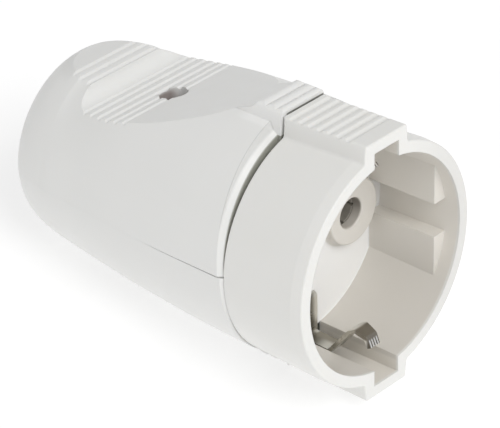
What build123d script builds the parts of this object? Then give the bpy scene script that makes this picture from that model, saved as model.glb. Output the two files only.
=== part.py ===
from build123d import *
import math
import os

# Rewireable trailing socket with side earth clips, for a round plug, all sizes in mm.
# Everything is drawn about the socket's own axis: the mouth rim lies in the plane y = 0
# and faces -Y, depth runs along +Y to the cord end, X is lateral and Z points up.
# At the end the whole coupler is laid down as it rests on a table.

# ---- driving dimensions -------------------------------------------------------------
# socket front
rim_r = 21.85            # barrel radius at the mouth
flare_r, flare_y = 22.0, 2.4   # slight flare behind the rim
joint_r = 21.25          # barrel radius where it meets the rear shells
joint_y = 17.4           # rear face of the barrel
recess_r = 19.7          # plug recess at the mouth
recess_floor_r = 19.4    # plug recess at its floor
recess_depth = 17.4
floor_back = 20.0        # rear face of the recess floor
neck_r = 19.7            # neck that the rear shells close around
neck_in_r = 17.0
neck_end = 24.5
ridge_half = 5.25        # half width of the ribbed ridges at their crest
ridge_root = 7.7         # the same where their drafted sides would meet the plane z = 0
ridge_front_z = 24.5     # ridge height at the mouth
ridge_joint_z = 24.1     # ridge height at the joint
ridge_joint_y = 17.65
slot_half = 3.15         # earth slot inside each ridge
slot_roof = 22.4
groove_depths = (4.0, 6.0, 8.0, 10.0, 12.0, 14.0, 16.0)
guide_x = 16.45          # flat of the guide blocks beside the pins
guide_front = 3.0
channel_half = 3.2
pin_x = 9.5              # half of the 19 mm pin pitch
boss_x, boss_r = 10.3, 6.15
boss_face = 15.5
pin_hole_r = 2.75

# rear body, revolved about its own axis, which sits a little high and tips up a little
body_y = 18.0
body_z = 0.45
body_tip = 0.75          # degrees
body_profile = ((17.3, 21.6), (20.4, 21.6), (26.0, 21.5), (31.5, 21.35), (37.3, 21.05),
                (44.0, 20.65), (49.2, 20.2), (54.9, 19.65), (61.5, 18.95))
# how much the upper shell rises above that round form, fading out towards the grip
upper_rise = (1.0, 1.12, 1.2, 1.1, 1.0, 0.9, 0.82, 0.2, 0.0)
low_crest = 0.3          # the lower ridge stands this much less proud
lower_tip = 1.35         # the lower shell's form tips up this much more, degrees
lower_pivot = 31.0       # about this depth
body_end = 71.0
body_end_r = 12.0
cavity_profile = ((23.3, 19.0), (31.5, 18.95), (37.3, 18.75), (44.0, 18.35), (49.2, 17.9),
                  (54.9, 17.3), (59.8, 16.6), (63.0, 15.2), (65.2, 13.0), (66.4, 10.0))
cavity_end = 66.4
shell_in_r = 19.8        # bore of the shells around the neck
lock_front, lock_back, lock_r = 20.4, 22.6, 18.8

# finger grip on each shell: (depth, height) of the facet, the scoop and the tail lip
facet = ((24.2, 24.1), (28.5, 22.3), (31.4, 21.2), (35.7, 19.75), (40.1, 18.35), (45.8, 16.9),
         (49.7, 16.05), (53.5, 15.65), (55.8, 15.4))
scoop_mid = (57.5, 16.1)
lip_start = (58.3, 18.0)
lip_end = (66.6, 18.5)
grip_grooves = ((46.0, 16.85), (47.9, 16.43), (49.8, 16.04), (51.7, 15.84), (53.6, 15.64), (55.4, 15.45))
lip_grooves = ((58.9, 18.03), (60.85, 18.14), (62.8, 18.26))
screw_y = 47.0
screw_well_r = 2.6

# inner parts
base_r = 16.8
base_end = 35.0
tube_r = 3.3
tube_in_r = 2.45
tube_front = 17.45
pin_bore_end = 34.6
terminal_end = 42.3
terminal_y = 38.9          # terminal screws
base_tail_r = 15.8         # ceramic base behind the neck
post_xz = ((8.6, 9.6), (-8.6, -9.6))
strip_half = 1.75        # earth clip strip: half width
strip_t = 0.7
clamp_x = 9.4
clamp_y = 58.0
bush_r = 6.1
bush_in_r = 4.0

ridge_crest_z = 25.2     # ridge height on the rear shells


def across(y):
    """Plane square to the socket axis at depth y, seen from the mouth."""
    return Plane(origin=(0, y, 0), x_dir=(1, 0, 0), z_dir=(0, -1, 0))


tip = math.radians(body_tip)
body_axis = Axis((0, body_y, body_z), (0, math.cos(tip), math.sin(tip)))
body_side = Plane(origin=(0, body_y, body_z), x_dir=(0, math.cos(tip), math.sin(tip)), z_dir=(1, 0, 0))
body_seam = Plane(origin=(0, body_y, body_z), x_dir=(1, 0, 0), z_dir=(0, -math.sin(tip), math.cos(tip)))


def on_body(y, z):
    """A point of the plane x = 0 in the rear body's own side plane."""
    dy, dz = y - body_y, z - body_z
    return (dy * math.cos(tip) + dz * math.sin(tip), dz * math.cos(tip) - dy * math.sin(tip))


# ---- socket front: barrel, recess, floor and neck in one moulding ---------------------
with BuildPart() as socket_front:
    flare_z = ridge_front_z + (ridge_joint_z - ridge_front_z) * flare_y / joint_y
    for depth, radius, height in ((0, rim_r, ridge_front_z), (flare_y, flare_r, flare_z), (joint_y, joint_r, ridge_joint_z)):
        with BuildSketch(across(depth)) as outline:
            Circle(radius)
            with BuildLine():
                Polyline((-ridge_half, height), (ridge_half, height), (ridge_root, 0), (ridge_half, -height),
                         (-ridge_half, -height), (-ridge_root, 0), close=True)
            make_face()
            root = [v for v in outline.vertices() if abs(math.hypot(v.X, v.Y) - radius) < 0.01 and abs(v.Y) > 15]
            fillet(root, radius=0.6)
            crest = [v for v in outline.vertices() if abs(abs(v.Y) - height) < 0.01]
            fillet(crest, radius=0.5)
    loft(ruled=True)
    fillet(socket_front.faces().sort_by(Axis.Y)[0].edges(), radius=0.3)
    # ridge tongues that reach past the barrel
    with BuildSketch(across(joint_y)):
        for side in (1, -1):
            with Locations((0, side * (21.4 + ridge_joint_z) / 2)):
                Rectangle(2 * ridge_half - 0.2, ridge_joint_z - 21.4)
    extrude(amount=-(ridge_joint_y - joint_y))
    # floor disc and neck
    with BuildSketch(Plane.YZ):
        with BuildLine():
            Polyline((16.0, 0), (16.0, neck_r), (lock_front, neck_r), (lock_front, lock_r), (lock_back, lock_r),
                     (lock_back, neck_r), (neck_end, neck_r), (neck_end, neck_in_r), (floor_back, neck_in_r),
                     (floor_back, 0), close=True)
        make_face()
    revolve(axis=Axis.Y)
    # plug recess
    with BuildSketch(Plane.YZ):
        with BuildLine():
            Polyline((-2, 0), (-2, recess_r + 0.02), (0, recess_r), (recess_depth, recess_floor_r),
                     (recess_depth, 0), close=True)
        make_face()
    revolve(axis=Axis.Y, mode=Mode.SUBTRACT)
    # earth slots inside the ridges
    with BuildSketch(across(recess_depth)):
        for side in (1, -1):
            with Locations((0, side * (14 + slot_roof) / 2)):
                Rectangle(2 * slot_half, slot_roof - 14)
    extrude(amount=recess_depth + 1, mode=Mode.SUBTRACT)
    # guide blocks: the parts of the round recess outside the flats, left and right of the pin channel
    with BuildSketch(across(recess_depth)):
        Circle(20.3)
        Rectangle(2 * guide_x, 60, mode=Mode.SUBTRACT)
        Rectangle(60, 2 * channel_half, mode=Mode.SUBTRACT)
    extrude(amount=recess_depth - guide_front)
    # round pin bosses that spread into the floor
    for side in (1, -1):
        with BuildSketch(Plane.XY):
            with BuildLine():
                Polyline((side * boss_x, recess_depth + 0.6), (side * boss_x, boss_face), (side * (boss_x + boss_r - 0.35), boss_face))
                ThreePointArc((side * (boss_x + boss_r - 0.35), boss_face), (side * (boss_x + boss_r - 0.1), boss_face + 0.1),
                              (side * (boss_x + boss_r), boss_face + 0.35))
                ThreePointArc((side * (boss_x + boss_r), boss_face + 0.35), (side * (boss_x + boss_r + 0.35), recess_depth - 0.4),
                              (side * (boss_x + boss_r + 1.3), recess_depth))
                Polyline((side * (boss_x + boss_r + 1.3), recess_depth), (side * (boss_x + boss_r + 1.3), recess_depth + 0.6),
                         (side * boss_x, recess_depth + 0.6))
            make_face()
        revolve(axis=Axis((side * boss_x, 0, 0), (0, 1, 0)))
    # pin holes, with a seat for the contact tubes from behind
    for side in (1, -1):
        with BuildSketch(Plane.XY):
            with BuildLine():
                x0 = side * pin_x
                Polyline((x0, boss_face - 0.5), (x0 + pin_hole_r + 0.25, boss_face - 0.5), (x0 + pin_hole_r + 0.25, boss_face),
                         (x0 + pin_hole_r, boss_face + 0.3), (x0 + 2.65, tube_front - 0.1), (x0 + tube_r + 0.05, tube_front - 0.1),
                         (x0 + tube_r + 0.05, floor_back + 1), (x0, floor_back + 1), close=True)
            make_face()
        revolve(axis=Axis((side * pin_x, 0, 0), (0, 1, 0)), mode=Mode.SUBTRACT)
    # slits in the floor for the earth clips
    with BuildSketch(across(floor_back + 1)):
        for side in (1, -1):
            with Locations((0, side * 12.75)):
                Rectangle(2 * strip_half + 0.2, strip_t + 0.2)
    extrude(amount=4, mode=Mode.SUBTRACT)
    # posts that carry the contact base
    with BuildSketch(across(floor_back)):
        with Locations(*post_xz):
            Circle(3.0)
    extrude(amount=-7)
    with BuildSketch(across(floor_back + 7)):
        with Locations(*post_xz):
            Circle(1.45)
    extrude(amount=6.2, mode=Mode.SUBTRACT)
    # ribs: transverse grooves over both ridges
    slope = (ridge_front_z - ridge_joint_z) / joint_y
    with BuildSketch(Plane.YZ):
        for y in groove_depths:
            for side in (1, -1):
                with Locations((y, side * (ridge_front_z - slope * y + 0.5))):
                    Circle(0.82)
    extrude(amount=8, both=True, mode=Mode.SUBTRACT)

# ---- rear body: outer form with ridges and grips, and its cavity ----------------------
pts = [(y - body_y, r) for y, r in body_profile]

# upper form: half ellipses over the same width, joined to the round tail
with BuildPart() as upper_form:
    for (y, r), rise in zip(body_profile, upper_rise):
        with BuildSketch(Plane(origin=(0, body_y + (y - body_y) * math.cos(tip), body_z + (y - body_y) * math.sin(tip)),
                               x_dir=(1, 0, 0), z_dir=(0, -math.cos(tip), -math.sin(tip)))):
            with BuildLine():
                EllipticalCenterArc((0, 0), r, r + rise, start_angle=0, arc_size=180)
                Polyline((-r, 0), (-r, -0.6), (r, -0.6), (r, 0))
            make_face()
    loft()
    with BuildSketch(body_side):
        with BuildLine():
            start = body_profile[-1][0] - body_y
            tail = Bezier((start, body_profile[-1][1]), (66.6 - body_y, 18.3), (body_end - body_y, 17.3), (body_end - body_y, body_end_r))
            Polyline(tail @ 1, (body_end - body_y, 0), (start, 0), tail @ 0)
        make_face()
    revolve(axis=body_axis)

# lower form: the same round form, tipped up a little more
low_tip = math.radians(body_tip + lower_tip)
low_z = body_z + (lower_pivot - body_y) * (math.tan(tip) - math.tan(low_tip))
lower_side = Plane(origin=(0, body_y, low_z), x_dir=(0, math.cos(low_tip), math.sin(low_tip)), z_dir=(1, 0, 0))
with BuildPart() as lower_form:
    with BuildSketch(lower_side):
        with BuildLine():
            Spline(*pts)
            end = Bezier(pts[-1], (66.6 - body_y, 18.3), (body_end - body_y, 17.3), (body_end - body_y, body_end_r))
            Polyline(end @ 1, (body_end - body_y, 0), (pts[0][0], 0), pts[0])
        make_face()
    revolve(axis=Axis((0, body_y, low_z), (0, math.cos(low_tip), math.sin(low_tip))))

with BuildPart() as ridge_form:
    # drafted section of both ridges with rounded edges, along the first part of the shells
    with BuildSketch(Plane(origin=(0, 17.95, body_z), x_dir=(1, 0, 0), z_dir=(0, -1, 0))) as ridge_section:
        top = ridge_crest_z - body_z
        with BuildLine():
            Polyline((-ridge_half, top), (ridge_half, top), (ridge_root, 0), (ridge_half, -top),
                     (-ridge_half, -top), (-ridge_root, 0), close=True)
        make_face()
        crest = [v for v in ridge_section.vertices() if abs(abs(v.Y) - top) < 0.01]
        fillet(crest, radius=1.1)
        Rectangle(60, 2 * 16, mode=Mode.SUBTRACT)
    extrude(amount=-14)
    # crests along the ridges, one profile above and its mirror image below
    with BuildSketch(Plane.YZ):
        for side in (1, -1):
            drop = 0.0 if side > 0 else low_crest
            def up(y, z):
                return (y, body_z + side * (z - drop - body_z))
            with BuildLine():
                ThreePointArc(up(17.95, 24.75), up(18.65, 25.15), up(19.45, 24.75))
                ThreePointArc(up(19.45, 24.75), up(20.55, 25.2), up(21.65, 24.75))
                ThreePointArc(up(21.65, 24.75), up(22.75, 25.2), up(23.85, 24.5))
                Polyline(up(23.85, 24.5), up(24.3, 23.95), up(31.5, 21.2), up(31.5, 15), up(17.95, 15), up(17.95, 24.75))
            make_face()
    extrude(amount=12, both=True, mode=Mode.INTERSECT)

with BuildPart() as grip_cut:
    # material cleared above the finger grip
    with BuildSketch(Plane.YZ):
        with BuildLine():
            Spline(*facet[:6])
            Polyline(*facet[5:])
            ThreePointArc(facet[-1], scoop_mid, lip_start)
            Polyline(lip_start, lip_end, (73, 19.2), (73, 34), (24.2, 34), facet[0])
        make_face()
    extrude(amount=26, both=True)
    with BuildSketch(Plane.YZ):
        for y, z in grip_grooves + lip_grooves:
            with Locations((y, z + 0.15)):
                Circle(0.55)
    extrude(amount=26, both=True)

with BuildPart() as grip_cut_low:
    add(grip_cut.part)
    mirror(about=body_seam, mode=Mode.REPLACE)

with BuildPart() as cavity:
    with BuildSketch(body_side):
        with BuildLine():
            cpts = [(y - body_y, r) for y, r in cavity_profile]
            Spline(*cpts)
            Polyline(cpts[-1], (cavity_end - body_y, 0), (cpts[0][0], 0), cpts[0])
        make_face()
    revolve(axis=body_axis)
    # follows the grip at a wall of about 2
    for side in (1, -1):
        with BuildSketch(body_side):
            with BuildLine():
                inner = [on_body(y, z) for y, z in ((24.0, 20.6), (31.0, 18.6), (40.0, 15.9), (46.0, 14.6), (56.5, 13.2),
                                                    (60.0, 15.5), (68.0, 15.9), (68.0, 26.0), (24.0, 26.0))]
                Polyline(*[(u, side * v) for u, v in inner], close=True)
            make_face()
        extrude(amount=26, both=True, mode=Mode.SUBTRACT)

with BuildPart() as neck_bore:
    # bore of both shells around the neck, less the rim that locks into the neck's groove
    with BuildSketch(Plane.YZ):
        with BuildLine():
            Polyline((10, 0), (10, shell_in_r), (lock_front + 0.1, shell_in_r), (lock_front + 0.1, lock_r + 0.1),
                     (lock_back - 0.1, lock_r + 0.1), (lock_back - 0.1, shell_in_r), (24.8, shell_in_r), (24.8, 0), close=True)
        make_face()
    revolve(axis=Axis.Y)

with BuildPart() as cord_hole:
    with BuildSketch(body_side):
        with BuildLine():
            Polyline((60 - body_y, 0), (60 - body_y, 8.1), (66.6 - body_y, 8.1), (66.6 - body_y, bush_r + 0.05),
                     (74 - body_y, bush_r + 0.05), (74 - body_y, 0), close=True)
        make_face()
    revolve(axis=body_axis)

# ---- upper shell ----------------------------------------------------------------------
mouth_tilt = math.radians(3.1)
upper_edge = Plane(origin=(0, 17.5, 0.45), x_dir=(0, math.cos(mouth_tilt), -math.sin(mouth_tilt)), z_dir=(1, 0, 0))
upper_edge_axis = Axis((0, 17.5, 0.45), (0, math.cos(mouth_tilt), -math.sin(mouth_tilt)))
with BuildPart() as upper_shell:
    add(upper_form.part)
    # slanting front edge with its wide bevel: the gap to the barrel opens towards the ridge
    with BuildSketch(upper_edge):
        with BuildLine():
            Polyline((-6, 0), (0, 0), (0, 20.85), (1.05, 21.7), (1.3, 22.2), (1.6, 22.8), (7, 29), (-6, 29), close=True)
        make_face()
    revolve(axis=upper_edge_axis, mode=Mode.SUBTRACT)
    add(ridge_form.part)
    add(grip_cut.part, mode=Mode.SUBTRACT)
    # column around the housing screw
    add(cavity.part, mode=Mode.SUBTRACT)
    with BuildSketch(Plane.XY.offset(1.6)):
        with Locations((0, screw_y)):
            Circle(4.2)
    extrude(amount=13.2)
    add(neck_bore.part, mode=Mode.SUBTRACT)
    add(cord_hole.part, mode=Mode.SUBTRACT)
    with BuildSketch(Plane.XY.offset(8.0)):
        with Locations((0, screw_y)):
            Circle(screw_well_r)
    extrude(amount=12, mode=Mode.SUBTRACT)
    with BuildSketch(Plane.XY.offset(-2.0)):
        with Locations((0, screw_y)):
            Circle(1.7)
    extrude(amount=12, mode=Mode.SUBTRACT)
    split(bisect_by=body_seam, keep=Keep.TOP)
    # parting line: open at the front, closing towards the middle of the body
    with BuildSketch(body_side):
        with BuildLine():
            Polyline((-2, 0), (-2, 0.2), (20, 0), close=True)
        make_face()
    extrude(amount=26, both=True, mode=Mode.SUBTRACT)

# ---- lower shell ----------------------------------------------------------------------
with BuildPart() as lower_shell:
    add(lower_form.part)
    with BuildSketch(Plane.YZ):
        with BuildLine():
            Polyline((10, 0), (17.45, 0), (17.45, 21.05), (17.85, 21.45), (25.1, 28.7), (10, 28.7), close=True)
        make_face()
    revolve(axis=Axis.Y, mode=Mode.SUBTRACT)
    add(ridge_form.part)
    add(grip_cut_low.part, mode=Mode.SUBTRACT)
    add(cavity.part, mode=Mode.SUBTRACT)
    # column for the nut, and the saddle and columns of the cord clamp
    with BuildSketch(Plane.XY.offset(0.4)):
        with Locations((0, screw_y)):
            Circle(4.2)
    extrude(amount=-14)
    with BuildSketch(across(clamp_y - 2.4)):
        with BuildLine():
            Polyline((-12.4, -18), (12.4, -18), (12.4, -3.0), (-12.4, -3.0), close=True)
        make_face()
        with Locations((0, 1.0)):
            Circle(17.8, mode=Mode.INTERSECT)
        with Locations((0, 0.6)):
            Circle(4.1, mode=Mode.SUBTRACT)
    extrude(amount=-4.8)
    with BuildSketch(Plane.XY.offset(-3.0)):
        with Locations((clamp_x, clamp_y), (-clamp_x, clamp_y)):
            Circle(1.5)
    extrude(amount=-7, mode=Mode.SUBTRACT)
    add(grip_cut_low.part, mode=Mode.SUBTRACT)
    add(neck_bore.part, mode=Mode.SUBTRACT)
    add(cord_hole.part, mode=Mode.SUBTRACT)
    with BuildSketch(Plane.XY.offset(-9.2)):
        with Locations((0, screw_y)):
            Rectangle(5.8, 5.8)
    extrude(amount=-12, mode=Mode.SUBTRACT)
    with BuildSketch(Plane.XY.offset(3.0)):
        with Locations((0, screw_y)):
            Circle(1.7)
    extrude(amount=-16, mode=Mode.SUBTRACT)
    split(bisect_by=body_seam, keep=Keep.BOTTOM)

# ---- ceramic contact base -------------------------------------------------------------
with BuildPart() as contact_base:
    with BuildSketch(across(floor_back)):
        Circle(base_r)
    extrude(amount=-(neck_end - floor_back))
    with BuildSketch(across(neck_end)):
        Circle(base_tail_r)
    extrude(amount=-(base_end - neck_end))
    # barrier between the terminals
    with BuildSketch(across(base_end)):
        with Locations((0, 4.2)):
            Rectangle(2.6, 13.6)
    extrude(amount=-6.2)
    chamfer(contact_base.faces().filter_by(Axis.Y).sort_by(Axis.Y)[-2].edges().filter_by(GeomType.CIRCLE), length=0.6)
    # groove for the earth bar, and channel for its leg
    with BuildSketch(across(floor_back)):
        Rectangle(6.6, 28.4)
    extrude(amount=-2.5, mode=Mode.SUBTRACT)
    with BuildSketch(across(floor_back)):
        with Locations((0, -(12.0 + 18.0) / 2)):
            Rectangle(7.4, 6.0)
    extrude(amount=-(base_end - floor_back), mode=Mode.SUBTRACT)
    # bores for the contact tubes and their spring rings
    with BuildSketch(across(floor_back)):
        with Locations((pin_x, 0), (-pin_x, 0)):
            Circle(tube_r + 0.1)
    extrude(amount=-(base_end - floor_back), mode=Mode.SUBTRACT)
    with BuildSketch(across(floor_back)):
        with Locations((pin_x, 0), (-pin_x, 0)):
            Circle(4.3)
    extrude(amount=-7.0, mode=Mode.SUBTRACT)
    # holes over the posts, and the seats of the fixing screws
    with BuildSketch(across(floor_back)):
        with Locations(*post_xz):
            Circle(3.1)
    extrude(amount=-7.0, mode=Mode.SUBTRACT)
    with BuildSketch(across(floor_back)):
        with Locations(*post_xz):
            Circle(1.75)
    extrude(amount=-(base_end - floor_back), mode=Mode.SUBTRACT)
    with BuildSketch(across(base_end)):
        with Locations(*post_xz):
            Circle(3.2)
    extrude(amount=3.2, mode=Mode.SUBTRACT)

# ---- live and neutral contacts: slit tube, flange and screw barrel in one turned piece --
contacts = []
for side in (1, -1):
    with BuildPart() as contact:
        with BuildSketch(across(tube_front)):
            with Locations((side * pin_x, 0)):
                Circle(tube_r)
        extrude(amount=-(base_end - tube_front))
        with BuildSketch(across(base_end)):
            with Locations((side * pin_x, 0)):
                RectangleRounded(8.0, 8.4, 1.2)
        extrude(amount=-(terminal_end - base_end))
        with BuildSketch(across(tube_front)):
            with Locations((side * pin_x, 0)):
                Circle(tube_in_r)
        extrude(amount=-(pin_bore_end - tube_front), mode=Mode.SUBTRACT)
        with BuildSketch(across(terminal_end)):
            with Locations((side * pin_x, -0.6)):
                Circle(1.75)
        extrude(amount=6.6, mode=Mode.SUBTRACT)
        # slits that let the tube grip a pin
        with BuildSketch(across(tube_front)):
            with Locations((side * pin_x, 0)):
                Rectangle(0.6, 10)
                Rectangle(10, 0.6)
        extrude(amount=-9.0, mode=Mode.SUBTRACT)
        # threaded hole of the terminal screw, from above
        with BuildSketch(Plane.XY.offset(5)):
            with Locations((side * pin_x, terminal_y)):
                Circle(1.8)
        extrude(amount=-5, mode=Mode.SUBTRACT)
    contacts.append(contact)
contact_right, contact_left = contacts

springs = []
for side in (1, -1):
    with BuildPart() as spring:
        with BuildSketch(across(21.2)):
            with Locations((side * pin_x, 0)):
                Circle(4.05)
                Circle(tube_r + 0.05, mode=Mode.SUBTRACT)
            with Locations((side * (pin_x + 3.7), 0)):
                Rectangle(2.4, 1.1, mode=Mode.SUBTRACT)
        extrude(amount=-3.6)
    springs.append(spring)
spring_right, spring_left = springs

# ---- earth contacts: one bent strip above and its mirror image below --------------------
clips = []
clip_tongues = (((6.9, 15.2), (5.6, 14.45), (3.5, 15.2), (2.75, 16.9)),      # bottom
                ((7.0, 17.1), (5.7, 16.4), (3.8, 16.75), (3.0, 17.7)))       # top, pressed further out
for side, tongue in zip((-1, 1), clip_tongues):
    with BuildPart() as clip:
        with BuildSketch(Plane.YZ):
            with BuildLine() as run:
                FilletPolyline((20.4, side * 6.2), (20.4, side * 12.75), (17.0, side * 12.75), (17.0, side * 20.35),
                               (11.7, side * 20.55), radius=0.45)
            trace(line_width=strip_t)
            with BuildLine() as rise:
                FilletPolyline((11.9, side * 20.54), (11.3, side * 20.56), *[(y, side * z) for y, z in tongue], radius=0.35)
            trace(line_width=strip_t)
        extrude(amount=strip_half, both=True)
        # the tongue narrows towards its tip, which has fine teeth
        tip_y = tongue[-1][0] - 0.6
        with BuildSketch(Plane.XY.offset(side * 10)):
            for hand in (1, -1):
                with BuildLine():
                    Polyline((hand * strip_half, 6.2), (hand * 1.2, tip_y), (hand * 4, tip_y), (hand * 4, 6.2), close=True)
                make_face()
        extrude(amount=side * 12, mode=Mode.SUBTRACT)
        with BuildSketch(Plane.XY.offset(side * (tongue[-1][1] - 0.6))):
            with Locations((-0.6, tip_y + 0.1), (0, tip_y + 0.1), (0.6, tip_y + 0.1)):
                Rectangle(0.26, 1.0)
        extrude(amount=side * 2.0, mode=Mode.SUBTRACT)
        # rivet hole
        with BuildSketch(across(19)):
            with Locations((0, side * 9.0)):
                Circle(1.25)
        extrude(amount=-3, mode=Mode.SUBTRACT)
    clips.append(clip)
earth_clip_bottom, earth_clip_top = clips

with BuildPart() as earth_bar:
    # bridge between the clips behind the socket floor, with a leg back to the terminal
    with BuildSketch(Plane.YZ):
        with BuildLine():
            FilletPolyline((21.2, 12.0), (21.2, -12.65), (terminal_end, -12.65), radius=1.0)
        trace(line_width=0.8)
    extrude(amount=3.0, both=True)
    with BuildSketch(across(20)):
        with Locations((0, 9.0), (0, -9.0)):
            Circle(1.25)
    extrude(amount=-3, mode=Mode.SUBTRACT)
    with BuildSketch(Plane.XY.offset(-13.5)):
        with Locations((0, terminal_y)):
            Circle(1.25)
    extrude(amount=2, mode=Mode.SUBTRACT)

with BuildPart() as earth_rivets:
    with BuildSketch(across(20.1)):
        with Locations((0, 9.0), (0, -9.0)):
            Circle(1.2)
    extrude(amount=-1.5)
    with BuildSketch(across(21.6)):
        with Locations((0, 9.0), (0, -9.0)):
            Circle(2.1)
    extrude(amount=-0.75)
    fillet(earth_rivets.faces().filter_by(Axis.Y).sort_by(Axis.Y)[-2:].edges(), radius=0.4)

with BuildPart() as earth_terminal:
    # screw barrel that stands on the leg of the earth bar, held by a spigot
    with BuildSketch(Plane.XY.offset(-12.25)):
        with Locations((0, terminal_y)):
            RectangleRounded(6.4, 6.4, 0.8)
    extrude(amount=6.4)
    with BuildSketch(Plane.XY.offset(-12.25)):
        with Locations((0, terminal_y)):
            Circle(1.2)
    extrude(amount=-0.8)
    with BuildSketch(across(terminal_end)):
        with Locations((0, -9.6)):
            Circle(1.55)
    extrude(amount=8, mode=Mode.SUBTRACT)
    with BuildSketch(Plane.XY.offset(-5)):
        with Locations((0, terminal_y)):
            Circle(1.8)
    extrude(amount=-4.6, mode=Mode.SUBTRACT)

with BuildPart() as terminal_screws:
    # three grub-type terminal screws with slotted heads
    for x, z in ((pin_x, 4.2), (-pin_x, 4.2), (0, -5.85)):
        with BuildSketch(Plane.XY.offset(z + 2.4)):
            with Locations((x, terminal_y)):
                Circle(2.6)
        extrude(amount=-1.9)
        with BuildSketch(Plane.XY.offset(z + 0.5)):
            with Locations((x, terminal_y)):
                Circle(1.7)
        extrude(amount=-3.4)
        with BuildSketch(Plane.XY.offset(z + 2.5)):
            with Locations((x, terminal_y)):
                Rectangle(6, 0.7)
        extrude(amount=-1.0, mode=Mode.SUBTRACT)

with BuildPart() as base_screws:
    for x, z in post_xz:
        with BuildSketch(across(21.4)):
            with Locations((x, z)):
                Circle(1.4)
        extrude(amount=-11.1)
        with BuildSketch(across(32.5)):
            with Locations((x, z)):
                Circle(2.7)
        extrude(amount=-2.0)
        with BuildSketch(across(34.7)):
            with Locations((x, z)):
                Rectangle(6, 0.7)
        extrude(amount=1.1, mode=Mode.SUBTRACT)

with BuildPart() as base_washers:
    with BuildSketch(across(31.8)):
        with Locations(*post_xz):
            Circle(2.9)
            Circle(1.6, mode=Mode.SUBTRACT)
    extrude(amount=-0.7)

# ---- fasteners of the shells and the cord clamp -----------------------------------------
with BuildPart() as housing_screw:
    with BuildSketch(Plane.XY.offset(8.0)):
        with Locations((0, screw_y)):
            Circle(2.45)
    extrude(amount=2.2)
    fillet(housing_screw.faces().sort_by(Axis.Z)[-1].edges(), radius=0.5)
    with BuildSketch(Plane.XY.offset(8.0)):
        with Locations((0, screw_y)):
            Circle(1.5)
    extrude(amount=-20.6)
    with BuildSketch(Plane.XY.offset(10.3)):
        with Locations((0, screw_y)):
            Rectangle(6, 0.7)
    extrude(amount=-1.1, mode=Mode.SUBTRACT)

with BuildPart() as housing_nut:
    with BuildSketch(Plane.XY.offset(-9.25)):
        with Locations((0, screw_y)):
            Rectangle(5.5, 5.5)
            Circle(1.55, mode=Mode.SUBTRACT)
    extrude(amount=-2.4)

with BuildPart() as cord_clamp:
    with BuildSketch(across(clamp_y - 2.4)):
        with BuildLine():
            Polyline((-12.4, 0.6), (12.4, 0.6), (12.4, 3.0), (7.0, 3.2), (4.6, 6.6), (-4.6, 6.6), (-7.0, 3.2), (-12.4, 3.0), close=True)
        make_face()
        with Locations((0, 0.6)):
            Circle(4.1, mode=Mode.SUBTRACT)
    extrude(amount=-4.8)
    with BuildSketch(Plane.XY.offset(8)):
        with Locations((clamp_x, clamp_y), (-clamp_x, clamp_y)):
            Circle(1.6)
    extrude(amount=-10, mode=Mode.SUBTRACT)

with BuildPart() as clamp_screws:
    for x in (clamp_x, -clamp_x):
        with BuildSketch(Plane.XY.offset(5.2)):
            with Locations((x, clamp_y)):
                Circle(2.3)
        extrude(amount=-2.0)
        with BuildSketch(Plane.XY.offset(3.2)):
            with Locations((x, clamp_y)):
                Circle(1.4)
        extrude(amount=-12.6)
        with BuildSketch(Plane.XY.offset(5.3)):
            with Locations((x, clamp_y)):
                Rectangle(6, 0.7)
        extrude(amount=-1.0, mode=Mode.SUBTRACT)

with BuildPart() as cord_bush:
    # rubber entry bush, flanged inside the tail
    with BuildSketch(body_side):
        with BuildLine():
            Polyline((64.4 - body_y, bush_in_r), (64.4 - body_y, 8.0), (66.5 - body_y, 8.0), (66.5 - body_y, bush_r),
                     (71.2 - body_y, bush_r), (71.2 - body_y, bush_in_r + 0.5), (70.7 - body_y, bush_in_r), close=True)
        make_face()
    revolve(axis=body_axis)

# ---- laid down at rest: on the lower ridge of the shells and the lip of the tail ---------
pieces = (
    ("socket_front", socket_front), ("upper_shell", upper_shell), ("lower_shell", lower_shell),
    ("contact_base", contact_base), ("contact_right", contact_right), ("contact_left", contact_left),
    ("contact_spring_right", spring_right), ("contact_spring_left", spring_left),
    ("earth_clip_top", earth_clip_top), ("earth_clip_bottom", earth_clip_bottom),
    ("earth_bar", earth_bar), ("earth_rivets", earth_rivets), ("earth_terminal", earth_terminal),
    ("terminal_screws", terminal_screws), ("base_screws", base_screws), ("base_washers", base_washers),
    ("housing_screw", housing_screw), ("housing_nut", housing_nut),
    ("cord_clamp", cord_clamp), ("clamp_screws", clamp_screws), ("cord_bush", cord_bush),
)

rest_tilt = 10.0403        # degrees, cord end down
lift = 27.6068
set_back = 33.9652        # brings the middle of the length over the origin
rest_pose = Location((0, -set_back, lift), (-rest_tilt, 0, 0))
os.makedirs("parts", exist_ok=True)
for name, piece in pieces:
    piece.part.move(rest_pose)
    piece.part.label = name
    export_step(piece.part, f"parts/{name}.step")
    print(name, len(piece.part.solids()), round(piece.part.volume, 1), piece.part.is_valid)
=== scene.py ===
import math

import bpy
from mathutils import Matrix, Vector

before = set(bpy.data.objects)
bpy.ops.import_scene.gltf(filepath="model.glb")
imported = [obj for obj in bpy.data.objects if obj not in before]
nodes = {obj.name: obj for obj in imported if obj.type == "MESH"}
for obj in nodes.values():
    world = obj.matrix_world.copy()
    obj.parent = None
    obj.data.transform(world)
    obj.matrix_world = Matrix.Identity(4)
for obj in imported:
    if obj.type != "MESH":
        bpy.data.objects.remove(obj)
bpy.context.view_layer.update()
scene = bpy.context.scene


# ---- small helpers for node materials --------------------------------------------------
def new_material(name):
    m = bpy.data.materials.new(name)
    m.use_nodes = True
    t = m.node_tree
    for n in list(t.nodes):
        t.nodes.remove(n)
    out = t.nodes.new("ShaderNodeOutputMaterial")
    bsdf = t.nodes.new("ShaderNodeBsdfPrincipled")
    t.links.new(bsdf.outputs["BSDF"], out.inputs["Surface"])
    return m, t, bsdf


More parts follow.
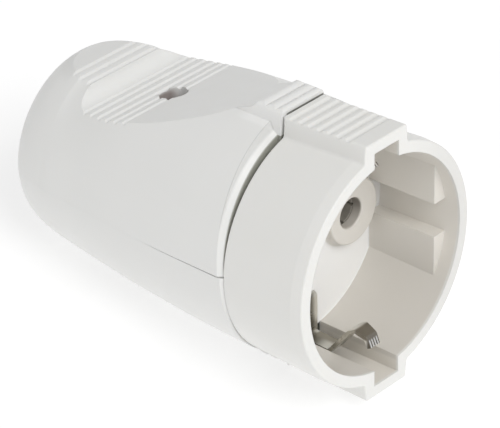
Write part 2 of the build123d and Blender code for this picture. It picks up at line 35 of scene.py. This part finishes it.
def coords(t, scale=(1.0, 1.0, 1.0)):
    """Object coordinates of the frame, in metres, scaled."""
    tc = t.nodes.new("ShaderNodeTexCoord")
    mp = t.nodes.new("ShaderNodeMapping")
    mp.inputs["Scale"].default_value = scale
    t.links.new(tc.outputs["Object"], mp.inputs["Vector"])
    return mp.outputs["Vector"]


def noise(t, vec, scale, detail=2.0, rough=0.5, distortion=0.0):
    n = t.nodes.new("ShaderNodeTexNoise")
    n.inputs["Scale"].default_value = scale
    n.inputs["Detail"].default_value = detail
    n.inputs["Roughness"].default_value = rough
    n.inputs["Distortion"].default_value = distortion
    t.links.new(vec, n.inputs["Vector"])
    return n.outputs["Fac"]


def spread(t, fac, lo, hi, a=0.3, b=0.7):
    """Maps a noise value to the range lo..hi."""
    r = t.nodes.new("ShaderNodeMapRange")
    r.inputs["From Min"].default_value = a
    r.inputs["From Max"].default_value = b
    r.inputs["To Min"].default_value = lo
    r.inputs["To Max"].default_value = hi
    t.links.new(fac, r.inputs["Value"])
    return r.outputs["Result"]


def tint(t, fac, first, second, a=0.3, b=0.7):
    r = t.nodes.new("ShaderNodeValToRGB")
    r.color_ramp.elements[0].position = a
    r.color_ramp.elements[0].color = (*first, 1.0)
    r.color_ramp.elements[1].position = b
    r.color_ramp.elements[1].color = (*second, 1.0)
    t.links.new(fac, r.inputs["Fac"])
    return r.outputs["Color"]


def bump(t, height, strength, distance, normal=None):
    b = t.nodes.new("ShaderNodeBump")
    b.inputs["Strength"].default_value = strength
    b.inputs["Distance"].default_value = distance
    t.links.new(height, b.inputs["Height"])
    if normal is not None:
        t.links.new(normal, b.inputs["Normal"])
    return b.outputs["Normal"]


def soft_edges(t, radius):
    """Small radius on moulded edges."""
    b = t.nodes.new("ShaderNodeBevel")
    b.name = "edge radius"
    b.samples = 6
    b.inputs["Radius"].default_value = radius
    return b.outputs["Normal"]


# ---- materials ---------------------------------------------------------------------------
def moulded_plastic(name, light, dark, rough=(0.30, 0.42), edge=0.00022, flow=(60.0, 22.0, 60.0)):
    m, t, p = new_material(name)
    v = coords(t)
    # the faintest clouding of the moulding, drawn out along the flow of the melt
    cloud = noise(t, coords(t, flow), 1.0, 4.0, 0.55, 0.3)
    t.links.new(tint(t, cloud, dark, light, 0.30, 0.72), p.inputs["Base Color"])
    # gloss varies a little over the skin, with very fine scuffs
    patch = noise(t, v, 240.0, 4.0, 0.6)
    t.links.new(spread(t, patch, rough[0], rough[1]), p.inputs["Roughness"])
    p.inputs["IOR"].default_value = 1.46
    p.inputs["Subsurface Weight"].default_value = 0.08
    p.inputs["Subsurface Radius"].default_value = (1.0, 0.9, 0.75)
    p.inputs["Subsurface Scale"].default_value = 0.0009
    n = soft_edges(t, edge)
    n = bump(t, noise(t, v, 130.0, 1.0, 0.4), 0.12, 0.0006, n)      # slight sink of the walls
    n = bump(t, noise(t, v, 5200.0, 2.0, 0.6), 0.10, 0.00004, n)    # satin skin
    t.links.new(n, p.inputs["Normal"])
    return m


def maths(t, op, a, b=None, c=None):
    n = t.nodes.new("ShaderNodeMath")
    n.operation = op
    for k, v in enumerate((a, b, c)):
        if v is None:
            continue
        if isinstance(v, (int, float)):
            n.inputs[k].default_value = v
        else:
            t.links.new(v, n.inputs[k])
    return n.outputs["Value"]


def step(t, value, a, b):
    """Smooth step of a value, from 0 at a to 1 at b."""
    r = t.nodes.new("ShaderNodeMapRange")
    r.interpolation_type = "SMOOTHSTEP"
    r.inputs["From Min"].default_value = a
    r.inputs["From Max"].default_value = b
    t.links.new(value, r.inputs["Value"])
    return r.outputs["Result"]


def blend(t, fac, first, second):
    n = t.nodes.new("ShaderNodeMix")
    n.data_type = "RGBA"
    t.links.new(fac, n.inputs["Factor"])
    for socket, v in (("A", first), ("B", second)):
        if isinstance(v, tuple):
            n.inputs[socket].default_value = (*v, 1.0)
        else:
            t.links.new(v, n.inputs[socket])
    return n.outputs["Result"]


# pose of the barrel's axis: it lies 10 degrees nose up
AXIS_TILT = 0.175236
AXIS_SHIFT = (0.0, 0.038258, -0.021262)


def axis_coords(t):
    """x across, y into the mouth, z up, in metres, from the centre of the mouth."""
    tc = t.nodes.new("ShaderNodeTexCoord")
    mp = t.nodes.new("ShaderNodeMapping")
    mp.inputs["Rotation"].default_value = (AXIS_TILT, 0.0, 0.0)
    mp.inputs["Location"].default_value = AXIS_SHIFT
    t.links.new(tc.outputs["Object"], mp.inputs["Vector"])
    sep = t.nodes.new("ShaderNodeSeparateXYZ")
    t.links.new(mp.outputs["Vector"], sep.inputs["Vector"])
    return sep.outputs["X"], sep.outputs["Y"], sep.outputs["Z"]


def product(t, *factors):
    out = factors[0]
    for f in factors[1:]:
        out = maths(t, "MULTIPLY", out, f)
    return out


def paint_recess_light_and_shade(material, wall_shade_high, wall_shade_low, floor_light_tone):
    """Paints shade into the plug recess, duller and warmer on the walls, and paints light on its floor, which is
    bright; also painted shade in the pin bores, on the rim and in the gap.
    """
    t = material.node_tree
    p = next(n for n in t.nodes if n.type == "BSDF_PRINCIPLED")
    outer = p.inputs["Base Color"].links[0].from_socket
    x, y, z = axis_coords(t)
    radius = maths(t, "SQRT", maths(t, "ADD", maths(t, "MULTIPLY", x, x), maths(t, "MULTIPLY", z, z)))
    round_part = step(t, radius, 0.0213, 0.0207)
    slots = maths(t, "MULTIPLY", step(t, maths(t, "ABSOLUTE", x), 0.0042, 0.0038),
                  step(t, maths(t, "ABSOLUTE", z), 0.0234, 0.0230))
    inside = maths(t, "MULTIPLY", maths(t, "MAXIMUM", round_part, slots), step(t, y, 0.0001, 0.0007))
    # painted light: the recess floor is brighter than the outer skin
    on_floor = product(t, step(t, y, 0.01715, 0.01735), step(t, y, 0.0182, 0.0178))
    # painted shade: the recess walls duller and warmer, darker towards the bottom
    wall = blend(t, step(t, z, -0.002, -0.013), wall_shade_high, wall_shade_low)
    # painted shade, a little lighter on the slot at the foot of the recess than on the round wall
    low_slot = product(t, step(t, maths(t, "ABSOLUTE", x), 0.0046, 0.0040), step(t, z, -0.0200, -0.0206))
    wall = blend(t, low_slot, wall, (0.745, 0.715, 0.66))
    tone = blend(t, on_floor, wall, floor_light_tone)
    tone = blend(t, inside, outer, tone)
    # painted shade in the bores for the pins, dark at the top and lighter at the bottom; painted shade in the gap
    # towards the rear shells
    off = maths(t, "SUBTRACT", maths(t, "ABSOLUTE", x), 0.0095)
    pin = maths(t, "SQRT", maths(t, "ADD", maths(t, "MULTIPLY", off, off), maths(t, "MULTIPLY", z, z)))
    bore = product(t, step(t, pin, 0.00295, 0.00280), step(t, y, 0.0154, 0.0158))
    bore_shade = blend(t, step(t, z, 0.0010, -0.0026), (0.31, 0.285, 0.255), (0.60, 0.57, 0.52))
    tone = blend(t, bore, tone, bore_shade)
    # painted shade: right side of the rim a little darker, and painted shade on the rear edge in the gap
    rim = product(t, step(t, y, 0.0006, 0.0002), step(t, x, 0.004, 0.019))
    tone = blend(t, rim, tone, (0.735, 0.728, 0.705))
    side = product(t, step(t, maths(t, "ABSOLUTE", x), 0.0036, 0.0042), step(t, z, 0.0205, 0.0210))
    edge = product(t, step(t, radius, 0.0192, 0.0196), step(t, z, 0.0002, 0.0020), maths(t, "SUBTRACT", 1.0, side))
    gap_shade = product(t, step(t, y, 0.01757, 0.01763), maths(t, "MAXIMUM", edge, step(t, pin, 0.0034, 0.0032)))
    tone = blend(t, gap_shade, tone, (0.40, 0.40, 0.36))
    t.links.new(tone, p.inputs["Base Color"])


def paint_shell_light_and_shade(material, edge):
    """Painted shade in the screw well, in the gap to the front part and on the chamfer and front face behind it,
    painted light on the ridge flanks; the parting line closes towards the middle.
    """
    t = material.node_tree
    p = next(n for n in t.nodes if n.type == "BSDF_PRINCIPLED")
    outer = p.inputs["Base Color"].links[0].from_socket
    x, y, z = axis_coords(t)
    # painted shade in the screw well, dark on one side and fading across it
    back = maths(t, "SUBTRACT", y, 0.0470)
    off = maths(t, "SQRT", maths(t, "ADD", maths(t, "MULTIPLY", x, x), maths(t, "MULTIPLY", back, back)))
    well = product(t, step(t, off, 0.0029, 0.0026), step(t, maths(t, "ABSOLUTE", z), 0.0166, 0.0150))
    across = maths(t, "SUBTRACT", maths(t, "MULTIPLY", x, 0.885), back)
    shade = blend(t, step(t, across, 0.0014, -0.0010), (0.77, 0.76, 0.75), (0.36, 0.315, 0.30))
    tone = blend(t, well, outer, shade)
    # painted shade: a slightly darker tone on the flat behind the lip grooves, so that it runs out softly into the
    # round tail
    lip = product(t, step(t, y, 0.0628, 0.0638), step(t, z, 0.0166, 0.0182))
    tone = blend(t, lip, tone, (0.745, 0.745, 0.732))
    # painted light: flanks of the ridge brighter, where the moulding swells up to it
    flank_light = product(t, step(t, maths(t, "ABSOLUTE", x), 0.0045, 0.0055), step(t, maths(t, "ABSOLUTE", x), 0.0074, 0.0066),
                    step(t, y, 0.0275, 0.0240), step(t, z, 0.0200, 0.0212))
    tone = blend(t, flank_light, tone, (0.835, 0.835, 0.82))
    # painted shade deep in the gap to the front part
    joint_shade = product(t, step(t, y, 0.01800, 0.01797), step(t, maths(t, "ABSOLUTE", z), 0.0243, 0.0241),
                    step(t, x, -0.0044, -0.0039))
    tone = blend(t, joint_shade, tone, (0.22, 0.22, 0.20))
    slant = maths(t, "SUBTRACT", maths(t, "MULTIPLY", maths(t, "SUBTRACT", y, 0.0175), 0.99854),
                  maths(t, "MULTIPLY", maths(t, "SUBTRACT", z, 0.00045), 0.05408))
    clear = maths(t, "SUBTRACT", 1.0, product(t, step(t, maths(t, "ABSOLUTE", x), 0.0079, 0.0077), step(t, z, 0.0205, 0.0207)))
    # painted shade on the chamfer behind the gap to the front part: darker only at its foot, and running out
    # softly into the shell
    radius = maths(t, "SQRT", maths(t, "ADD", maths(t, "MULTIPLY", x, x), maths(t, "MULTIPLY", z, z)))
    rise = maths(t, "MULTIPLY", maths(t, "SUBTRACT", radius, 0.0217), 0.5)
    over = maths(t, "SUBTRACT", maths(t, "SUBTRACT", slant, 0.00105), rise)
    chamfer = product(t, step(t, radius, 0.0217, 0.0221), step(t, radius, 0.0234, 0.0230), step(t, over, 0.00016, -0.00002),
                      step(t, over, -0.00050, -0.00025), step(t, z, 0.0040, 0.0120))
    tone = blend(t, chamfer, tone, (0.66, 0.66, 0.645))
    # painted shade on the shell's front face in the gap to the front part
    face = product(t, step(t, slant, 0.00024, 0.00002), step(t, z, 0.0010, 0.0030), clear)
    tone = blend(t, face, tone, (0.34, 0.34, 0.30))
    t.links.new(tone, p.inputs["Base Color"])
    seam = product(t, step(t, maths(t, "ABSOLUTE", maths(t, "SUBTRACT", z, 0.0007)), 0.0018, 0.0012),
                   step(t, y, 0.029, 0.037))
    open_edge = maths(t, "MULTIPLY", maths(t, "SUBTRACT", 1.0, seam), edge)
    t.links.new(open_edge, t.nodes["edge radius"].inputs["Radius"])


def tooth_tips(material):
    """Painted highlights and shade on the combed tips, legs and feet, and shaded bends of the bent spring strips.
    """
    t = material.node_tree
    p = next(n for n in t.nodes if n.type == "BSDF_PRINCIPLED")
    outer = p.inputs["Base Color"].links[0].from_socket
    x, y, z = axis_coords(t)
    depth = maths(t, "ABSOLUTE", z)
    # painted highlight and shade: upright leg brighter towards one side
    leg = step(t, y, 0.0158, 0.0164)
    shine = blend(t, step(t, x, 0.0001, 0.0015), (0.24, 0.23, 0.20), (0.80, 0.79, 0.74))
    tone = blend(t, leg, outer, shine)
    # painted shade and sheen on the foot: dark towards the leg, bright in front of it, and darker on the far side
    foot = product(t, step(t, depth, 0.0190, 0.0194), step(t, y, 0.0163, 0.0158))
    sheen = blend(t, step(t, y, 0.0150, 0.0122), (0.22, 0.205, 0.175), (0.60, 0.59, 0.545))
    sheen = blend(t, step(t, x, -0.0003, 0.0008), sheen, (0.30, 0.28, 0.235))
    tone = blend(t, foot, tone, sheen)
    # shaded outer bend before the tip
    bend = product(t, step(t, y, 0.0058, 0.0052), step(t, depth, 0.0159, 0.0155))
    tone = blend(t, bend, tone, (0.30, 0.275, 0.235))
    # painted glints and shade: bright and dark stripes across the combed tip
    tip = product(t, step(t, y, 0.0040, 0.0037), step(t, depth, 0.0153, 0.0157))
    comb = maths(t, "ABSOLUTE", maths(t, "SUBTRACT", maths(t, "FRACT", maths(t, "ADD", maths(t, "MULTIPLY", x, 1666.7), 0.5)), 0.5))
    tooth_glint = blend(t, step(t, comb, 0.16, 0.30), (0.20, 0.185, 0.16), (0.97, 0.96, 0.94))
    t.links.new(blend(t, tip, tone, tooth_glint), p.inputs["Base Color"])


def metal(name, light, dark, rough=(0.22, 0.40), streak=(900.0, 90.0, 900.0), edge=0.00008, grain=700.0):
    m, t, p = new_material(name)
    v = coords(t)
    line = noise(t, coords(t, streak), 1.0, 3.0, 0.6)
    spot = noise(t, v, grain, 3.0, 0.5)
    t.links.new(tint(t, spot, dark, light, 0.32, 0.68), p.inputs["Base Color"])
    t.links.new(spread(t, line, rough[0], rough[1]), p.inputs["Roughness"])
    p.inputs["Metallic"].default_value = 1.0
    n = soft_edges(t, edge)
    n = bump(t, line, 0.12, 0.00003, n)
    n = bump(t, noise(t, v, 4000.0, 2.0, 0.5), 0.06, 0.00002, n)
    t.links.new(n, p.inputs["Normal"])
    return m


def ceramic(name):
    m, t, p = new_material(name)
    v = coords(t)
    grain = noise(t, v, 1800.0, 5.0, 0.7)
    fleck = noise(t, v, 420.0, 3.0, 0.5)
    mix = t.nodes.new("ShaderNodeMix")
    mix.data_type = "RGBA"
    mix.blend_type = "MULTIPLY"
    mix.inputs["Factor"].default_value = 0.5
    t.links.new(tint(t, grain, (0.70, 0.66, 0.56), (0.80, 0.77, 0.69), 0.35, 0.65), mix.inputs["A"])
    t.links.new(tint(t, fleck, (0.86, 0.84, 0.80), (1.0, 1.0, 1.0), 0.30, 0.45), mix.inputs["B"])
    t.links.new(mix.outputs["Result"], p.inputs["Base Color"])
    t.links.new(spread(t, grain, 0.55, 0.80), p.inputs["Roughness"])
    n = soft_edges(t, 0.00025)
    n = bump(t, grain, 0.30, 0.00006, n)
    n = bump(t, fleck, 0.15, 0.00015, n)
    t.links.new(n, p.inputs["Normal"])
    return m


def rubber(name):
    m, t, p = new_material(name)
    v = coords(t)
    soft = noise(t, v, 500.0, 4.0, 0.6)
    t.links.new(tint(t, soft, (0.60, 0.60, 0.58), (0.68, 0.68, 0.66)), p.inputs["Base Color"])
    t.links.new(spread(t, soft, 0.60, 0.78), p.inputs["Roughness"])
    n = soft_edges(t, 0.00025)
    n = bump(t, noise(t, v, 3500.0, 3.0, 0.6), 0.25, 0.00005, n)
    t.links.new(n, p.inputs["Normal"])
    return m


shell_white = moulded_plastic("shell_white", (0.800, 0.800, 0.785), (0.785, 0.785, 0.768))
front_white = moulded_plastic("front_white", (0.805, 0.802, 0.780), (0.790, 0.786, 0.760))
paint_recess_light_and_shade(front_white, (0.755, 0.727, 0.677), (0.655, 0.628, 0.581), (0.92, 0.918, 0.905))
paint_shell_light_and_shade(shell_white, 0.00022)
clamp_white = moulded_plastic("clamp_white", (0.72, 0.72, 0.70), (0.68, 0.68, 0.66), (0.45, 0.60))
nickel = metal("nickel_strip", (0.62, 0.60, 0.545), (0.42, 0.40, 0.35), (0.24, 0.38), (120.0, 900.0, 900.0), grain=260.0)
tooth_tips(nickel)
plated = metal("plated_contact", (0.60, 0.57, 0.51), (0.50, 0.47, 0.42), (0.40, 0.60), (900.0, 60.0, 900.0))
next(n for n in plated.node_tree.nodes if n.type == "BSDF_PRINCIPLED").inputs["Metallic"].default_value = 0.55
brass = metal("turned_brass", (0.72, 0.56, 0.33), (0.60, 0.45, 0.25), (0.25, 0.42), (900.0, 60.0, 900.0))
spring = metal("spring_steel", (0.50, 0.50, 0.50), (0.40, 0.40, 0.41), (0.22, 0.36), (90.0, 900.0, 90.0))
zinc = metal("zinc_steel", (0.66, 0.67, 0.66), (0.56, 0.57, 0.57), (0.25, 0.45), (900.0, 900.0, 90.0))
steatite = ceramic("steatite")
bush_rubber = rubber("bush_rubber")

finish = {
    "socket_front": front_white, "upper_shell": shell_white, "lower_shell": shell_white,
    "contact_base": steatite, "contact_right": plated, "contact_left": plated,
    "contact_spring_right": spring, "contact_spring_left": spring,
    "earth_clip_top": nickel, "earth_clip_bottom": nickel, "earth_bar": brass, "earth_rivets": brass,
    "earth_terminal": brass, "terminal_screws": zinc, "base_screws": zinc, "base_washers": zinc,
    "housing_screw": zinc, "housing_nut": zinc, "cord_clamp": clamp_white, "clamp_screws": zinc,
    "cord_bush": bush_rubber,
}
for name, node in nodes.items():
    node.data.materials.clear()
    node.data.materials.append(finish[name])

# ---- floor, light and camera -----------------------------------------------------------------
floor_mesh = bpy.data.meshes.new("floor")
r = 3.0
floor_mesh.from_pydata([(-r, -r, 0), (r, -r, 0), (r, r, 0), (-r, r, 0)], [], [(0, 1, 2, 3)])
floor = bpy.data.objects.new("floor", floor_mesh)
scene.collection.objects.link(floor)
m, t, p = new_material("floor_white")
v = coords(t)
t.links.new(tint(t, noise(t, v, 30.0, 3.0), (0.50, 0.50, 0.50), (0.52, 0.52, 0.52)), p.inputs["Base Color"])
p.inputs["Roughness"].default_value = 0.9
p.inputs["Specular IOR Level"].default_value = 0.1
p.inputs["Emission Color"].default_value = (1.0, 1.0, 1.0, 1.0)
p.inputs["Emission Strength"].default_value = 0.57
floor_mesh.materials.append(m)

world = bpy.data.worlds.new("studio")
world.use_nodes = True
wt = world.node_tree
bg = wt.nodes["Background"]
bg.inputs["Color"].default_value = (1.0, 1.0, 1.0, 1.0)
# an even tent of light, a little brighter overhead
sky = wt.nodes.new("ShaderNodeTexCoord")
up = wt.nodes.new("ShaderNodeSeparateXYZ")
wt.links.new(sky.outputs["Generated"], up.inputs["Vector"])
rise = wt.nodes.new("ShaderNodeMapRange")
rise.interpolation_type = "SMOOTHSTEP"
rise.inputs["From Min"].default_value = 0.3
rise.inputs["From Max"].default_value = 0.95
rise.inputs["To Min"].default_value = 0.51
rise.inputs["To Max"].default_value = 0.60
wt.links.new(up.outputs["Z"], rise.inputs["Value"])
wt.links.new(rise.outputs["Result"], bg.inputs["Strength"])
scene.world = world


def softbox(name, direction, distance, size, watts, aim=(0.0, 0.0, 0.025)):
    d = Vector(direction).normalized()
    data = bpy.data.lights.new(name, "AREA")
    data.shape = "SQUARE"
    data.size = size
    data.energy = watts
    o = bpy.data.objects.new(name, data)
    scene.collection.objects.link(o)
    o.location = Vector(aim) + d * distance
    o.rotation_euler = d.to_track_quat("Z", "Y").to_euler()
    return o


softbox("key", (-0.20, -0.60, 0.77), 1.2, 0.7, 7.3)

camera_data = bpy.data.cameras.new("camera")
camera_data.sensor_width = 36.0
camera_data.lens = 261.2
camera_data.clip_start = 0.02
camera_data.clip_end = 20.0
camera = bpy.data.objects.new("camera", camera_data)
scene.collection.objects.link(camera)
camera.matrix_world = Matrix((
    (0.6558382, 0.3857987, -0.6488726, -0.40278),
    (-0.7460623, 0.4623976, -0.4791446, -0.301956),
    (0.1151837, 0.7983407, 0.5910878, 0.388069),
    (0.0, 0.0, 0.0, 1.0),
))
scene.camera = camera
scene.view_settings.view_transform = "Standard"
scene.view_settings.look = "None"
